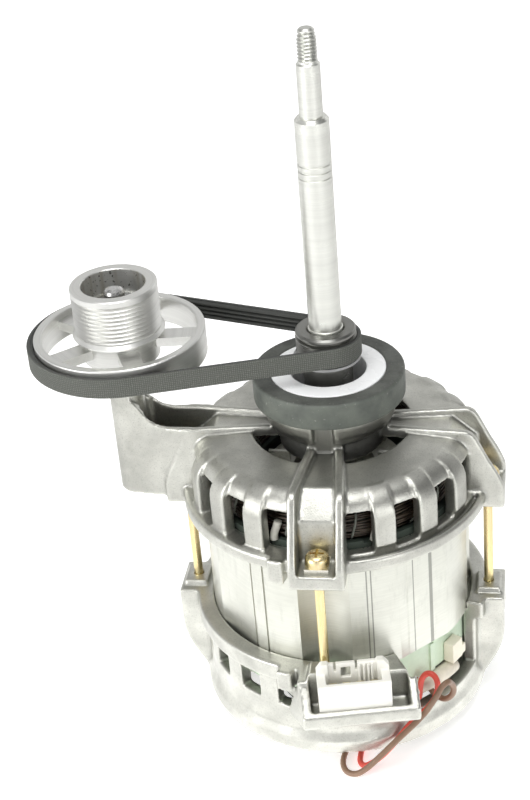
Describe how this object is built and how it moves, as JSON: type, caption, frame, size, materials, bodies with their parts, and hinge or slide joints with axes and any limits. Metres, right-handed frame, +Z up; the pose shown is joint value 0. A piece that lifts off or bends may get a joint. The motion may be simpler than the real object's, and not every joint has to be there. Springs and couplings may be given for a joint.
{
  "type": "tumble dryer motor",
  "caption": "Tumble dryer motor with ribbed end shields, rubber mounting rings, a long shaft with a threaded end, and a belt-driven idler pulley on a cast arm.",
  "frame": {"origin": "centre of the lower hub's end face, on the shaft axis, at the plane that the motor stands on", "axes": "+Z up the shaft towards its threaded end, -X along the idler arm, -Y towards the front through bolt"},
  "size_m": [0.1754, 0.1388, 0.2702],
  "materials": {
    "cast_aluminium": "grainy as-cast surface, warm grey",
    "core_steel": "punched steel sheets, fine upright lines",
    "turned_steel": "bright turned steel",
    "bearing_steel": "ground and polished bearing steel",
    "pressed_steel": "pressed steel, satin",
    "yellow_zinc": "steel with a yellow zinc coat, satin",
    "plate_zinc": "bright zinc on steel",
    "machined_aluminium": "turned aluminium, satin with fine tool marks",
    "ring_rubber": "dark greenish grey rubber, dull",
    "belt_rubber": "black ribbed rubber with a speckled grey fabric back",
    "white_plastic": "white moulded plastic, glossy",
    "connector_plastic": "creamy white moulded nylon",
    "clip_plastic": "cream moulded nylon",
    "insulator_green": "mint green moulded insulator",
    "copper_wire": "enamelled copper wire under varnish",
    "terminal_brass": "tinned brass blades",
    "lead_red": "red insulated lead",
    "lead_brown": "brown insulated lead"
  },
  "bodies": {
    "motor_body": {"upper_shield": "cast_aluminium", "lower_shield": "cast_aluminium", "stator_core": "core_steel", "upper_bearing_outer_ring": "bearing_steel", "upper_bearing_balls": "bearing_steel", "lower_bearing_outer_ring": "bearing_steel", "lower_bearing_balls": "bearing_steel", "preload_washer": "pressed_steel", "upper_insulator": "insulator_green", "lower_insulator": "insulator_green", "upper_winding": "copper_wire", "lower_winding": "copper_wire", "upper_winding_turns": "copper_wire", "upper_mount_ring": "ring_rubber", "lower_mount_ring": "ring_rubber", "upper_ring_sleeve": "white_plastic", "lower_ring_sleeve": "white_plastic", "through_bolts": "yellow_zinc", "bolt_plates": "plate_zinc", "drive_belt": "belt_rubber", "idler_axle": "turned_steel", "idler_inner_rings": "bearing_steel", "idler_balls": "bearing_steel", "connector_housing": "connector_plastic", "connector_terminals": "terminal_brass", "cable_clip": "clip_plastic", "red_lead": "lead_red", "brown_lead": "lead_brown"},
    "rotor": {"rotor_shaft": "turned_steel", "rotor_core": "core_steel", "rotor_end_rings": "cast_aluminium", "upper_bearing_inner_ring": "bearing_steel", "lower_bearing_inner_ring": "bearing_steel", "motor_pulley": "turned_steel", "pulley_flange": "pressed_steel"},
    "idler": {"idler_pulley": "machined_aluminium", "idler_outer_rings": "bearing_steel", "bearing_spacer": "pressed_steel", "idler_circlip": "pressed_steel"}
  },
  "joints": [
    {"name": "rotor_spin", "type": "hinge", "parent": "motor_body", "child": "rotor", "pos_m": [0, 0, 0], "axis": [0, 0, 1], "continuous": true},
    {"name": "idler_spin", "type": "hinge", "parent": "motor_body", "child": "idler", "pos_m": [-0.0768, 0, 0], "axis": [0, 0, 1], "continuous": true}
  ],
  "couplings": [
    {"joint": "idler_spin", "follows": "rotor_spin", "ratio": 0.3473}
  ]
}
